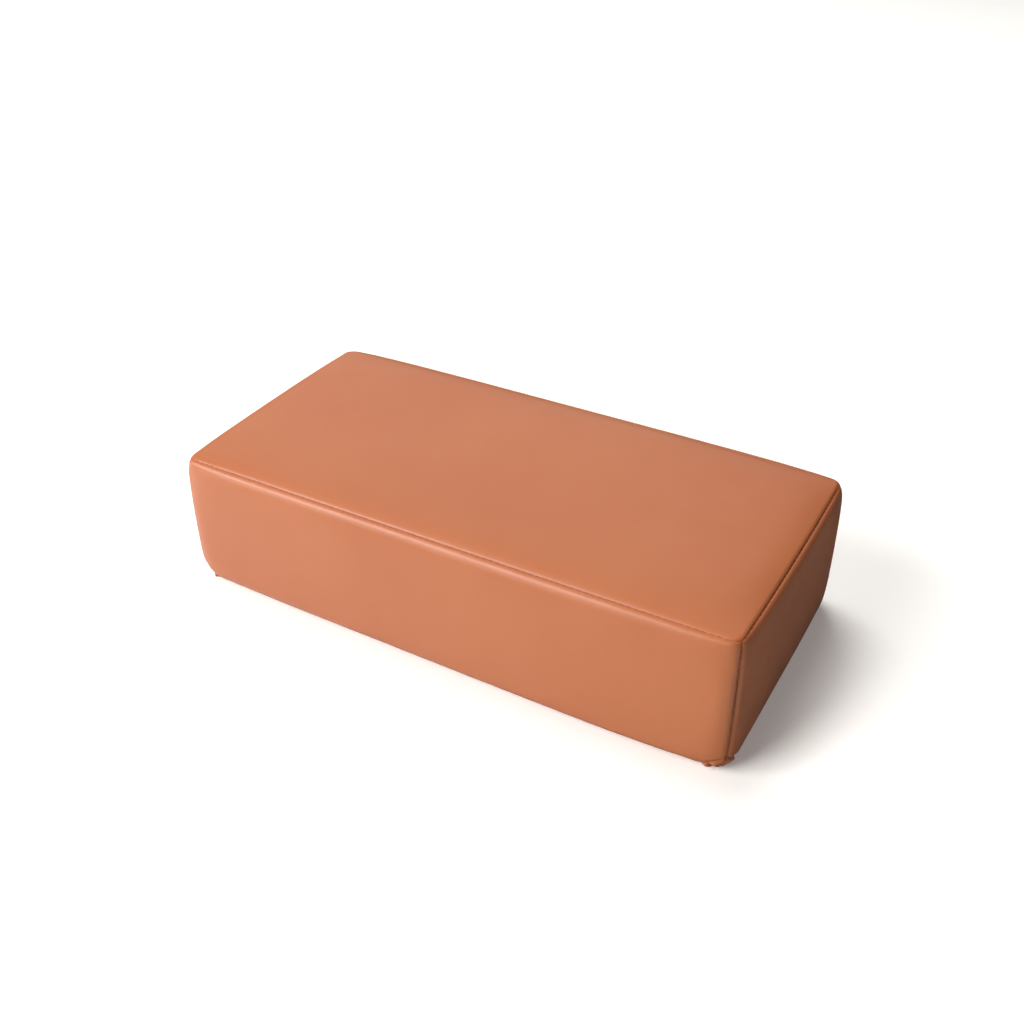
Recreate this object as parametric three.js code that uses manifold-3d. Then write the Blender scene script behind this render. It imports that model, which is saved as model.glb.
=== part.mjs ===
// Rectangular block cushion: a leatherette cover of five sewn panels, pulled over two foam
// slabs and a plywood base, stapled underneath and closed with a non-woven dust cover.
//
// Millimetres, +Z up. The origin is the middle of the underside, with X along the length
// and the front face towards -Y.

import * as THREE from 'three';
import { mergeVertices } from 'three/addons/utils/BufferGeometryUtils.js';
import Module from 'manifold-3d';

const wasm = await Module();
wasm.setup();

// ---------------------------------------------------------------- driving dimensions

// Block
const seamLength = 350; // top seam along X, corner to corner
const seamDepth = 166; // top seam along Y, corner to corner
const blockHeight = 90.5; // resting surface to the top of the cover
const sideBow = 4; // swell of each side past the line between its corners
const cornerRadius = 6; // plan rounding of the upright corners
const edgeRadius = 4; // rounding of the cover over the top edge and under the base

// Cover
const coverThickness = 1.2;
const seamDrop = 2.5; // middle of the top seam below the top of the cover
const threadDiameter = 0.8;
const threadInset = 0.3; // outer side of a seam thread inside the cover's outer face
const hemWidth = 30; // cover turned under the base, measured from the side's corner line

// Filling
const comfortThickness = 20;
const boardThickness = 9;
const boardSetback = 2; // board edge inside the cover's inner face
const boardCornerRadius = 8;
const boardEase = 1.5; // rounded-over edge of the board

// Dust cover
const dustThickness = 0.6;
const dustRimThickness = 1.2; // the rim is folded double
const dustRimWidth = 12;
const dustSetback = 10; // dust cover edge inside the side's corner line
const dustCornerRadius = 3;

// Staples
const crownWidth = 9.5;
const wireThickness = 0.6;
const wireWidth = 0.75;
const legLength = 8;
const legChisel = 0.9;
const hemStapleMargin = 4; // staple line to the hem's inner edge
const hemStapleEnd = 42; // last staple from the cushion's corner, along the side
const hemStapleProud = 0.3; // crown below the hem, the rest beds into it
const dustStapleEnd = 30;
const dustStapleSink = 0.1; // crown above the underside, bedded into the folded rim
const hemStapleCounts = { long: 6, short: 3 };
const dustStapleCounts = { long: 5, short: 2 };

// Clearances
const fitGap = 0.3; // between pieces that touch
const stapleGap = 0.25; // round a staple's wire

// Fineness of rounded shapes
const arcSegments = 4; // per corner arc or bowed side
const edgeSegments = 3; // per rounded edge
const threadSides = 8;

// ---------------------------------------------------------------- worked-out places

const hemBottom = dustRimThickness + fitGap;
const boardBottom = hemBottom + coverThickness + fitGap;
const boardTop = boardBottom + boardThickness;
const foamBottom = boardTop + fitGap;
const foamTop = blockHeight - coverThickness - fitGap;
const glueLine = foamTop - comfortThickness;
const seamHeight = blockHeight - seamDrop;
const seamGap = threadDiameter + 2 * fitGap;
const sideTop = seamHeight - seamGap / 2;
const hemStapleInset = hemWidth - hemStapleMargin;
const dustStapleInset = dustSetback + dustRimWidth / 2;

// ---------------------------------------------------------------- finishes

const leatherette = { color: 0xcc8760, roughness: 0.48, metalness: 0 };
const thread = { color: 0x9c5a32, roughness: 0.7, metalness: 0 };
const comfort = { color: 0xe9e2cf, roughness: 0.95, metalness: 0 };
const core = { color: 0xd5d9d6, roughness: 0.95, metalness: 0 };
const plywood = { color: 0xc9a878, roughness: 0.65, metalness: 0 };
const nonwoven = { color: 0x1d1d1f, roughness: 0.9, metalness: 0 };
const steel = { color: 0xb9bcc0, roughness: 0.35, metalness: 1 };

// ---------------------------------------------------------------- shapes

// Rectangle with rounded corners whose four sides swell outwards by bow.
function roundedRectangle(length, depth, radius, bow) {
  const x = length / 2;
  const y = depth / 2;
  const shape = new THREE.Shape();
  shape.moveTo(-x + radius, -y);
  shape.quadraticCurveTo(0, -y - 2 * bow, x - radius, -y);
  shape.absarc(x - radius, -y + radius, radius, -Math.PI / 2, 0, false);
  shape.quadraticCurveTo(x + 2 * bow, 0, x, y - radius);
  shape.absarc(x - radius, y - radius, radius, 0, Math.PI / 2, false);
  shape.quadraticCurveTo(0, y + 2 * bow, -x + radius, y);
  shape.absarc(-x + radius, y - radius, radius, Math.PI / 2, Math.PI, false);
  shape.quadraticCurveTo(-x - 2 * bow, 0, -x, -y + radius);
  shape.absarc(-x + radius, -y + radius, radius, Math.PI, 1.5 * Math.PI, false);
  return shape;
}

// The block's plan outline, moved inwards by inset.
function blockOutline(inset) {
  const radius = cornerRadius - inset;
  return roundedRectangle(seamLength - 2 * inset, seamDepth - 2 * inset, radius, sideBow);
}

function polygon(points) {
  return new THREE.Shape(points.map(([x, y]) => new THREE.Vector2(x, y)));
}

// ---------------------------------------------------------------- solids

// A closed geometry as a manifold solid.
function toSolid(geometry) {
  const bare = geometry.clone();
  bare.deleteAttribute('normal');
  bare.deleteAttribute('uv');
  const merged = mergeVertices(bare, 1e-4);
  return new wasm.Manifold(new wasm.Mesh({
    numProp: 3,
    vertProperties: new Float32Array(merged.attributes.position.array),
    triVerts: new Uint32Array(merged.index.array),
  }));
}

function toGeometry(solid) {
  const { vertProperties, triVerts } = solid.getMesh();
  const geometry = new THREE.BufferGeometry();
  geometry.setAttribute('position', new THREE.BufferAttribute(vertProperties, 3));
  geometry.setIndex(new THREE.BufferAttribute(triVerts, 1));
  const faceted = geometry.toNonIndexed();
  faceted.computeVertexNormals();
  return faceted;
}

// A flat-ended prism of a shape between two heights.
function prism(shape, bottom, top) {
  const geometry = new THREE.ExtrudeGeometry(shape, {
    depth: top - bottom,
    bevelEnabled: false,
    curveSegments: arcSegments,
  });
  geometry.translate(0, 0, bottom);
  return toSolid(geometry);
}

// A prism of a shape whose top and bottom edges are rounded by radius.
function easedPrism(shape, bottom, top, radius) {
  const geometry = new THREE.ExtrudeGeometry(shape, {
    depth: top - bottom - 2 * radius,
    bevelThickness: radius,
    bevelSize: radius,
    bevelOffset: -radius,
    bevelSegments: edgeSegments,
    curveSegments: arcSegments,
  });
  geometry.translate(0, 0, bottom + radius);
  return toSolid(geometry);
}

function box(sizeX, sizeY, bottom, top) {
  const geometry = new THREE.BoxGeometry(sizeX, sizeY, top - bottom);
  geometry.translate(0, 0, (top + bottom) / 2);
  return toSolid(geometry);
}

function mesh(name, geometry, finish) {
  const part = new THREE.Mesh(geometry, new THREE.MeshStandardMaterial(finish));
  part.name = name;
  return part;
}

function solidMesh(name, solid, finish) {
  return mesh(name, toGeometry(solid), finish);
}

// ---------------------------------------------------------------- staples

// A staple with its crown at z = 0 along X and its legs pointing up.
function stapleGeometry() {
  const half = crownWidth / 2;
  const inner = half - wireThickness;
  const outline = polygon([
    [-half, 0],
    [half, 0],
    [half, legLength],
    [inner, legLength - legChisel],
    [inner, wireThickness],
    [-inner, wireThickness],
    [-inner, legLength - legChisel],
    [-half, legLength],
  ]);
  const geometry = new THREE.ExtrudeGeometry(outline, { depth: wireWidth, bevelEnabled: false });
  geometry.translate(0, 0, -wireWidth / 2);
  geometry.rotateX(Math.PI / 2);
  return geometry;
}

// The room that a staple needs: a pocket for its crown, open below, and a hole for each leg.
function stapleCutter() {
  const width = wireWidth + 2 * stapleGap;
  const holeLength = wireThickness + 2 * stapleGap;
  const legOffset = crownWidth / 2 - wireThickness / 2;
  let cutter = box(crownWidth + 2 * stapleGap, width, -hemBottom, wireThickness + stapleGap);
  for (const side of [-1, 1]) {
    const leg = box(holeLength, width, -hemBottom, legLength + stapleGap);
    cutter = cutter.add(leg.translate([side * legOffset, 0, 0]));
  }
  return cutter;
}

// Evenly spaced numbers from -reach to reach.
function spaced(count, reach) {
  return Array.from({ length: count }, (_, index) => reach * (2 * index / (count - 1) - 1));
}

// Places of the staples along all four sides, inset from the corner lines.
function stapleRing(prefix, inset, end, base, counts) {
  const x = seamLength / 2 - inset;
  const y = seamDepth / 2 - inset;
  const places = [];
  spaced(counts.long, seamLength / 2 - end).forEach((along, index) => {
    places.push({ name: `${prefix}_front_${index + 1}`, x: along, y: -y, z: base, turn: 0 });
    places.push({ name: `${prefix}_back_${index + 1}`, x: along, y, z: base, turn: 0 });
  });
  spaced(counts.short, seamDepth / 2 - end).forEach((along, index) => {
    places.push({ name: `${prefix}_left_${index + 1}`, x: -x, y: along, z: base, turn: 90 });
    places.push({ name: `${prefix}_right_${index + 1}`, x, y: along, z: base, turn: 90 });
  });
  return places;
}

const hemStaples = stapleRing(
  'hem_staple', hemStapleInset, hemStapleEnd, hemBottom - hemStapleProud, hemStapleCounts,
);
const dustStaples = stapleRing(
  'dust_staple', dustStapleInset, dustStapleEnd, dustStapleSink, dustStapleCounts,
);

function cuttersAt(places) {
  const cutter = stapleCutter();
  return places
    .map(({ x, y, z, turn }) => cutter.rotate([0, 0, turn]).translate([x, y, z]))
    .reduce((all, next) => all.add(next));
}

const hemHoles = cuttersAt(hemStaples);
const dustHoles = cuttersAt(dustStaples);
const stapleHoles = hemHoles.add(dustHoles);

function makeStaples(places) {
  const group = new THREE.Group();
  for (const { name, x, y, z, turn } of places) {
    const staple = mesh(name, stapleGeometry(), steel);
    staple.position.set(x, y, z);
    staple.rotation.z = THREE.MathUtils.degToRad(turn);
    group.add(staple);
  }
  return group;
}

// ---------------------------------------------------------------- cover

// The whole cover before it is divided into panels: a skin round the block, open under the base.
function coverSkin() {
  const outer = easedPrism(blockOutline(0), hemBottom, blockHeight, edgeRadius);
  const cavity = easedPrism(
    blockOutline(coverThickness),
    hemBottom + coverThickness,
    blockHeight - coverThickness,
    edgeRadius - coverThickness,
  );
  const opening = box(seamLength - 2 * hemWidth, seamDepth - 2 * hemWidth, 0, boardTop);
  return outer.subtract(cavity).subtract(opening);
}

// Everything between the mitre lines of the two corners that bound a long or short side.
// The wedge of a long side faces -Y and that of a short side faces +X.
function longSideWedge() {
  const out = sideBow + cornerRadius;
  const reach = seamDepth / 2 - edgeRadius;
  const mitre = Math.SQRT1_2 * seamGap;
  const x = seamLength / 2 - mitre;
  const y = seamDepth / 2;
  return prism(polygon([
    [-x - out, -y - out],
    [x + out, -y - out],
    [x - reach, -y + reach],
    [-x + reach, -y + reach],
  ]), 0, sideTop);
}

function shortSideWedge() {
  const out = sideBow + cornerRadius;
  const reach = seamDepth / 2 - edgeRadius;
  const mitre = Math.SQRT1_2 * seamGap;
  const x = seamLength / 2;
  const y = seamDepth / 2 - mitre;
  return prism(polygon([
    [x + out, -y - out],
    [x + out, y + out],
    [x - reach, y - reach],
    [x - reach, -y + reach],
  ]), 0, sideTop);
}

function makePanels() {
  const group = new THREE.Group();
  const skin = coverSkin();
  const aboveSeam = box(
    2 * seamLength, 2 * seamDepth, seamHeight + seamGap / 2, blockHeight + edgeRadius,
  );
  group.add(solidMesh('top_panel', skin.intersect(aboveSeam), leatherette));
  const sides = [
    { name: 'front_panel', wedge: longSideWedge() },
    { name: 'back_panel', wedge: longSideWedge().rotate([0, 0, 180]) },
    { name: 'right_end_panel', wedge: shortSideWedge() },
    { name: 'left_end_panel', wedge: shortSideWedge().rotate([0, 0, 180]) },
  ];
  for (const { name, wedge } of sides) {
    group.add(solidMesh(name, skin.intersect(wedge).subtract(stapleHoles), leatherette));
  }
  return group;
}

// ---------------------------------------------------------------- seam threads

function topThreadGeometry() {
  const ring = blockOutline(threadInset + seamInset());
  ring.holes.push(blockOutline(threadInset + seamInset() + threadDiameter));
  const geometry = new THREE.ExtrudeGeometry(ring, {
    depth: threadDiameter,
    bevelEnabled: false,
    curveSegments: arcSegments,
  });
  geometry.translate(0, 0, seamHeight - threadDiameter / 2);
  return geometry;
}

// How far the rounded top edge has already turned inwards at the height of the seam.
function seamInset() {
  const rise = edgeRadius - seamDrop;
  return edgeRadius - Math.sqrt(edgeRadius * edgeRadius - rise * rise);
}

function makeThreads() {
  const group = new THREE.Group();
  group.add(mesh('top_seam_thread', topThreadGeometry(), thread));
  const bottom = hemBottom + edgeRadius;
  const top = seamHeight - threadDiameter / 2 - fitGap;
  const radius = threadDiameter / 2;
  const fromArcCentre = cornerRadius - threadInset - radius;
  const toCorner = cornerRadius - fromArcCentre * Math.SQRT1_2;
  const corners = [
    { name: 'front_left', x: -1, y: -1 },
    { name: 'front_right', x: 1, y: -1 },
    { name: 'back_right', x: 1, y: 1 },
    { name: 'back_left', x: -1, y: 1 },
  ];
  for (const { name, x, y } of corners) {
    const rod = new THREE.CylinderGeometry(radius, radius, top - bottom, threadSides);
    rod.rotateX(Math.PI / 2);
    const part = mesh(`corner_thread_${name}`, rod, thread);
    part.position.set(
      x * (seamLength / 2 - toCorner), y * (seamDepth / 2 - toCorner), (top + bottom) / 2,
    );
    group.add(part);
  }
  return group;
}

// ---------------------------------------------------------------- filling and base

function makeFoams() {
  const group = new THREE.Group();
  const inset = coverThickness + fitGap;
  const block = easedPrism(blockOutline(inset), foamBottom, foamTop, edgeRadius - inset);
  const comfortSlab = box(2 * seamLength, 2 * seamDepth, glueLine, blockHeight);
  const coreSlab = box(2 * seamLength, 2 * seamDepth, 0, glueLine - fitGap);
  group.add(solidMesh('comfort_foam', block.intersect(comfortSlab), comfort));
  group.add(solidMesh('foam_core', block.intersect(coreSlab), core));
  return group;
}

function makeBoard() {
  const inset = coverThickness + boardSetback;
  const outline = roundedRectangle(
    seamLength - 2 * inset, seamDepth - 2 * inset, boardCornerRadius, 0,
  );
  const board = easedPrism(outline, boardBottom, boardTop, boardEase).subtract(stapleHoles);
  return solidMesh('base_board', board, plywood);
}

function makeDustCover() {
  const length = seamLength - 2 * dustSetback;
  const depth = seamDepth - 2 * dustSetback;
  const sheet = prism(
    roundedRectangle(length, depth, dustCornerRadius, 0), 0, dustRimThickness,
  );
  const recess = box(
    length - 2 * dustRimWidth, depth - 2 * dustRimWidth, dustThickness, dustRimThickness + fitGap,
  );
  return solidMesh('dust_cover', sheet.subtract(recess).subtract(dustHoles), nonwoven);
}

// ---------------------------------------------------------------- assembly

const cushion = new THREE.Group();
cushion.name = 'block_cushion';
cushion.add(makePanels());
cushion.add(makeThreads());
cushion.add(makeFoams());
cushion.add(makeBoard());
cushion.add(makeDustCover());
cushion.add(makeStaples(hemStaples));
cushion.add(makeStaples(dustStaples));

export default cushion;
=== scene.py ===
"""Looks of the block cushion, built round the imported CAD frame.

The cover is five leatherette panels sewn into a box, swollen by pressure between its seams and
gathered under the base at the bottom corners. Every size is in metres.
"""
import logging
import math
from dataclasses import dataclass, field, replace
from enum import Enum
from functools import partial
from typing import Callable, Sequence

import bmesh
import bpy
import numpy as np
from mathutils import Matrix, Vector


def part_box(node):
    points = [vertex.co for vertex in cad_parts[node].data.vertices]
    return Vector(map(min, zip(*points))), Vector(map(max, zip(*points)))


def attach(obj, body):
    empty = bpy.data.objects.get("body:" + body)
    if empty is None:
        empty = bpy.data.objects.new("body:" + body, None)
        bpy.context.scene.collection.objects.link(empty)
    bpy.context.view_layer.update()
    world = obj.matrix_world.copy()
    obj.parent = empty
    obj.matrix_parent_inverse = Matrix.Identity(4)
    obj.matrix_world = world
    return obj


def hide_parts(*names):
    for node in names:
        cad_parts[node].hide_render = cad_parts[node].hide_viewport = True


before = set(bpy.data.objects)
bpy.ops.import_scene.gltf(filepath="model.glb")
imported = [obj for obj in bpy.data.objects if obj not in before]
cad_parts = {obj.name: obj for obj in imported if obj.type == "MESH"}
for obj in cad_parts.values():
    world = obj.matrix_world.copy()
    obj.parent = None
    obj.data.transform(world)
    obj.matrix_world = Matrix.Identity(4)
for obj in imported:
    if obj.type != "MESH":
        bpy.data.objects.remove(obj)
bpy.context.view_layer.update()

ROOT = "root"
MM = 0.001
PRESS_REACH = 2.0 * MM  # how far a staple's crown presses the cloth beside it

log = logging.getLogger("block_cushion")

Array = np.ndarray
Bmesh = bmesh.types.BMesh
Faces = list[bmesh.types.BMFace]
Lines = list[tuple[float, float]]
Material = bpy.types.Material
Object = bpy.types.Object
Socket = bpy.types.NodeSocket


# ------------------------------------------------------------------ small tools


def smoothstep(value: Array) -> Array:
    """Ease from 0 to 1 as the value goes from 0 to 1."""
    t = np.clip(value, 0.0, 1.0)
    return t * t * (3.0 - 2.0 * t)


def mix(low: Array | float, high: Array | float, share: Array) -> Array:
    """Blend two numbers by a share from 0 to 1."""
    return low + (high - low) * share


def steps(start: float, end: float, pitch: float) -> list[float]:
    """Give evenly spaced numbers between two ends, without the ends.

    Args:
        start: The first end.
        end: The second end.
        pitch: The largest distance between two numbers.

    Returns:
        The numbers in order.
    """
    count = max(1, math.ceil(abs(end - start) / pitch))
    return [start + (end - start) * i / count for i in range(1, count)]


def box_of(node: str) -> tuple[Vector, Vector]:
    """Give a CAD node's lowest and highest corners."""
    low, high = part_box(node)
    return Vector(low), Vector(high)


def centre_of(node: str) -> Vector:
    """Give the middle of a CAD node's box."""
    low, high = box_of(node)
    return (low + high) / 2


def staples(kind: str) -> list[str]:
    """Give the CAD staples whose names start with a kind."""
    return sorted(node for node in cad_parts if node.startswith(kind))


def staple_press(point: Array, kind: str) -> Array:
    """Give how far points are pressed in under the crowns of a kind of staple.

    Args:
        point: The points.
        kind: How the staples' names start.

    Returns:
        The press on each point, from 0 to 1.
    """
    press = np.zeros(len(point))
    for node in staples(kind):
        low, high = (np.array(corner)[:2] for corner in box_of(node))
        away = np.maximum(np.maximum(low - point[:, :2], point[:, :2] - high), 0.0)
        press = np.maximum(press, np.exp(-(np.linalg.norm(away, axis=1) / PRESS_REACH) ** 2))
    return press


def new_object(name: str, bm: Bmesh, material: Material | None = None) -> Object:
    """Turn a bmesh into an object at the origin.

    Args:
        name: The object's name.
        bm: The shape, which is freed.
        material: The object's material, if it has one.

    Returns:
        The new object, in the scene.
    """
    mesh = bpy.data.meshes.new(name)
    bm.to_mesh(mesh)
    bm.free()
    if material:
        mesh.materials.append(material)
    item = bpy.data.objects.new(name, mesh)
    bpy.context.scene.collection.objects.link(item)
    return item


def add_piece(name: str, bm: Bmesh, material: Material, node: str) -> Object:
    """Turn a bmesh into a smooth piece of the cushion, which rides on the root body.

    Args:
        name: The piece's name.
        bm: The shape, which is freed.
        material: The piece's material.
        node: The CAD node that it stands for.

    Returns:
        The new piece.
    """
    piece = new_object(name, bm, material)
    piece.data.shade_smooth()
    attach(piece, ROOT)
    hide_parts(node)
    log.info("built %s", name)
    return piece


def thicken(sheet: Object, thickness: float) -> None:
    """Give a sheet its thickness, inwards from its outer face.

    Args:
        sheet: The sheet's object.
        thickness: The thickness in metres.
    """
    shell = sheet.modifiers.new("thickness", "SOLIDIFY")
    shell.thickness = thickness
    shell.offset = -1.0


def cut_box(size: Vector, middle: Vector, pitch: float) -> Bmesh:
    """Build a box of nearly square cells.

    Args:
        size: The box's sides.
        middle: The box's middle.
        pitch: The cells' side.

    Returns:
        The box as a bmesh.
    """
    bm = bmesh.new()
    place = Matrix.Translation(middle) @ Matrix.Diagonal(size.to_4d())
    bmesh.ops.create_cube(bm, size=1.0, matrix=place)
    for axis in range(3):
        edges = [e for e in bm.edges if abs((e.verts[1].co - e.verts[0].co).normalized()[axis]) > 0.99]
        cuts = max(1, round(size[axis] / pitch)) - 1
        bmesh.ops.subdivide_edges(bm, edges=edges, cuts=cuts, use_grid_fill=True)
    return bm


# ------------------------------------------------------------------ finishes


class Nodes:
    """A material's node tree, with short calls for the nodes that the finishes share."""

    def __init__(self, name: str) -> None:
        """Start a material whose surface is one Principled shader.

        Args:
            name: The material's name.
        """
        self.material = bpy.data.materials.new(name)
        self.material.use_nodes = True
        self.tree = self.material.node_tree
        self.shader = self.tree.nodes["Principled BSDF"]
        self.coordinates = self.tree.nodes.new("ShaderNodeTexCoord").outputs["Object"]

    def add(self, kind: str, **values: object) -> bpy.types.Node:
        """Add a node and set its properties and input values.

        Args:
            kind: The node's type.
            values: Property names, or input names with spaces as underscores.

        Returns:
            The node.
        """
        node = self.tree.nodes.new(kind)
        for key, value in values.items():
            if hasattr(node, key):
                setattr(node, key, value)
            else:
                node.inputs[key.replace("_", " ").title()].default_value = value
        return node

    def link(self, output: Socket, target: Socket) -> None:
        """Join an output to an input."""
        self.tree.links.new(output, target)

    def feed(self, **sources: Socket) -> None:
        """Link sockets to the shader's inputs, named with underscores for spaces."""
        for name, source in sources.items():
            self.link(source, self.shader.inputs[name.replace("_", " ")])

    def fix(self, **values: object) -> None:
        """Set values on the shader's own inputs, named with underscores for spaces."""
        for name, value in values.items():
            self.shader.inputs[name.replace("_", " ")].default_value = value

    def noise(self, scale: float, detail: float = 2.0, stretch: Sequence[float] = (1, 1, 1)) -> Socket:
        """Add noise in object space and give its factor.

        Args:
            scale: Lumps per metre.
            detail: Octaves of finer noise.
            stretch: Scale of each axis.

        Returns:
            The factor's socket.
        """
        place = self.add("ShaderNodeMapping", Scale=stretch)
        self.link(self.coordinates, place.inputs["Vector"])
        noise = self.add("ShaderNodeTexNoise", Scale=scale, Detail=detail)
        self.link(place.outputs["Vector"], noise.inputs["Vector"])
        return noise.outputs["Fac"]

    def cells(self, scale: float, feature: str = "F1", randomness: float = 1.0) -> Socket:
        """Add Voronoi cells in object space and give their distance.

        Args:
            scale: Cells per metre.
            feature: What is measured in a cell.
            randomness: How far the cells stray from a grid, from 0 to 1.

        Returns:
            The distance's socket.
        """
        cells = self.add("ShaderNodeTexVoronoi", feature=feature, Scale=scale, Randomness=randomness)
        self.link(self.coordinates, cells.inputs["Vector"])
        return cells.outputs["Distance"]

    def ramp(self, factor: Socket, low: Sequence[int], high: Sequence[int],
             start: float = 0.3, end: float = 0.7) -> Socket:
        """Turn a factor into a colour between two display colours.

        Args:
            factor: The factor's socket.
            low: Colour at the start.
            high: Colour at the end.
            start: Factor that gives the low colour.
            end: Factor that gives the high colour.

        Returns:
            The colour's socket.
        """
        ramp = self.add("ShaderNodeValToRGB")
        for stop, position, colour in zip(ramp.color_ramp.elements, (start, end), (low, high)):
            stop.position = position
            stop.color = linear(colour)
        self.link(factor, ramp.inputs["Fac"])
        return ramp.outputs["Color"]

    def range(self, factor: Socket, low: float, high: float) -> Socket:
        """Map a factor from 0 to 1 onto a range of numbers.

        Args:
            factor: The factor's socket.
            low: Number at 0.
            high: Number at 1.

        Returns:
            The number's socket.
        """
        node = self.add("ShaderNodeMapRange", To_Min=low, To_Max=high)
        self.link(factor, node.inputs["Value"])
        return node.outputs["Result"]

    def bump(self, height: Socket, strength: float, depth: float,
             under: Socket | None = None) -> Socket:
        """Add a bump and give its normal.

        Args:
            height: The height's socket.
            strength: Share of the bump that shows.
            depth: Depth of the relief in metres.
            under: Normal of a coarser bump to add to.

        Returns:
            The normal's socket.
        """
        bump = self.add("ShaderNodeBump", Strength=strength, Distance=depth)
        self.link(height, bump.inputs["Height"])
        if under is not None:
            self.link(under, bump.inputs["Normal"])
        return bump.outputs["Normal"]


def linear(colour: Sequence[int]) -> tuple[float, ...]:
    """Turn a display colour of 0 to 255 into linear light, with full cover."""
    shares = [c / 255 for c in colour]
    return (*(c / 12.92 if c <= 0.04045 else ((c + 0.055) / 1.055) ** 2.4 for c in shares), 1.0)


@dataclass(frozen=True)
class Leatherette:
    """Smooth coated faux leather with a fine pressed grain."""

    name: str = "tan_leatherette"
    colour: tuple[int, int, int] = (162, 94, 55)
    flushed: tuple[int, int, int] = (158, 88, 50)
    roughness: tuple[float, float] = (0.38, 0.48)
    mottle_scale: float = 9.0
    rub_scale: float = 60.0
    grain_scale: float = 1100.0
    pore_scale: float = 2600.0
    grain_depth: float = 0.035 * MM
    slack_scale: float = 34.0
    slack_depth: float = 0.5 * MM

    def build(self) -> Material:
        """Make the material.

        Returns:
            The material.
        """
        nodes = Nodes(self.name)
        mottle = nodes.noise(self.mottle_scale, 3.0)
        grain = nodes.bump(nodes.cells(self.grain_scale, "SMOOTH_F1"), 0.35, self.grain_depth)
        pores = nodes.bump(nodes.noise(self.pore_scale, 3.0), 0.25, self.grain_depth, grain)
        slack = nodes.bump(nodes.noise(self.slack_scale), 0.25, self.slack_depth, pores)
        rub = nodes.noise(self.rub_scale, 4.0)
        nodes.feed(Base_Color=nodes.ramp(mottle, self.flushed, self.colour),
                   Roughness=nodes.range(rub, *self.roughness), Normal=slack)
        return nodes.material


@dataclass(frozen=True)
class SewingThread:
    """Bonded polyester thread, a little darker than the cover."""

    name: str = "rust_thread"
    colour: tuple[int, int, int] = (176, 76, 32)
    shaded: tuple[int, int, int] = (140, 52, 18)
    fibre_scale: float = 2400.0
    fibre_depth: float = 0.08 * MM

    def build(self) -> Material:
        """Make the material.

        Returns:
            The material.
        """
        nodes = Nodes(self.name)
        fibres = nodes.noise(self.fibre_scale, 3.0)
        nodes.feed(Base_Color=nodes.ramp(fibres, self.shaded, self.colour),
                   Normal=nodes.bump(fibres, 0.5, self.fibre_depth))
        nodes.fix(Roughness=0.62)
        return nodes.material


@dataclass(frozen=True)
class CutFoam:
    """Open-cell polyurethane foam with a sawn surface."""

    name: str
    colour: tuple[int, int, int]
    shaded: tuple[int, int, int]
    cell_scale: float = 900.0
    cell_depth: float = 0.4 * MM

    def build(self) -> Material:
        """Make the material.

        Returns:
            The material.
        """
        nodes = Nodes(self.name)
        cells = nodes.cells(self.cell_scale)
        nodes.feed(Base_Color=nodes.ramp(cells, self.shaded, self.colour, 0.1, 0.6),
                   Normal=nodes.bump(cells, 0.8, self.cell_depth))
        nodes.fix(Roughness=0.95)
        return nodes.material


@dataclass(frozen=True)
class Plywood:
    """Birch plywood: long grain on the faces and thin dark glue lines round the edge."""

    name: str = "birch_plywood"
    pale: tuple[int, int, int] = (214, 184, 138)
    dark: tuple[int, int, int] = (176, 138, 92)
    glue: tuple[int, int, int] = (120, 86, 54)
    ply: float = 1.8 * MM
    glue_line: float = 0.12 * MM
    grain_depth: float = 0.2 * MM

    def build(self) -> Material:
        """Make the material.

        Returns:
            The material.
        """
        nodes = Nodes(self.name)
        grain = nodes.noise(30.0, 6.0, (0.6, 9.0, 9.0))
        place = nodes.add("ShaderNodeSeparateXYZ")
        nodes.link(nodes.coordinates, place.inputs["Vector"])
        layer = nodes.add("ShaderNodeMath", operation="PINGPONG")
        nodes.link(place.outputs["Z"], layer.inputs[0])
        layer.inputs[1].default_value = self.ply / 2
        line = nodes.add("ShaderNodeMath", operation="LESS_THAN")
        nodes.link(layer.outputs["Value"], line.inputs[0])
        line.inputs[1].default_value = self.glue_line
        blend = nodes.add("ShaderNodeMix", data_type="RGBA", B=linear(self.glue))
        nodes.link(line.outputs["Value"], blend.inputs["Factor"])
        nodes.link(nodes.ramp(grain, self.dark, self.pale), blend.inputs["A"])
        nodes.feed(Base_Color=blend.outputs["Result"], Normal=nodes.bump(grain, 0.3, self.grain_depth))
        nodes.fix(Roughness=0.7)
        return nodes.material


@dataclass(frozen=True)
class NonWoven:
    """Black spun-bonded polypropylene with a grid of pressed dots."""

    name: str = "black_nonwoven"
    fibre: tuple[int, int, int] = (44, 44, 46)
    pressed: tuple[int, int, int] = (20, 20, 21)
    dots: float = 420.0  # per metre
    dot_depth: float = 0.2 * MM
    lint_depth: float = 0.15 * MM

    def build(self) -> Material:
        """Make the material.

        Returns:
            The material.
        """
        nodes = Nodes(self.name)
        spots = nodes.cells(self.dots, randomness=0.15)
        lint = nodes.bump(nodes.noise(1500.0, 4.0, (1.0, 3.0, 1.0)), 0.6, self.lint_depth)
        nodes.feed(Base_Color=nodes.ramp(spots, self.pressed, self.fibre, 0.1, 0.35),
                   Normal=nodes.bump(spots, 0.5, self.dot_depth, lint))
        nodes.fix(Roughness=0.85, Sheen_Weight=0.3)
        return nodes.material


@dataclass(frozen=True)
class StapleWire:
    """Galvanised flat wire."""

    name: str = "galvanised_wire"
    colour: tuple[int, int, int] = (196, 199, 204)

    def build(self) -> Material:
        """Make the material.

        Returns:
            The material.
        """
        nodes = Nodes(self.name)
        drawn = nodes.noise(900.0, 3.0, (0.2, 1.0, 1.0))
        nodes.feed(Roughness=nodes.range(drawn, 0.28, 0.42))
        nodes.fix(Base_Color=linear(self.colour), Metallic=1.0)
        return nodes.material


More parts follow.
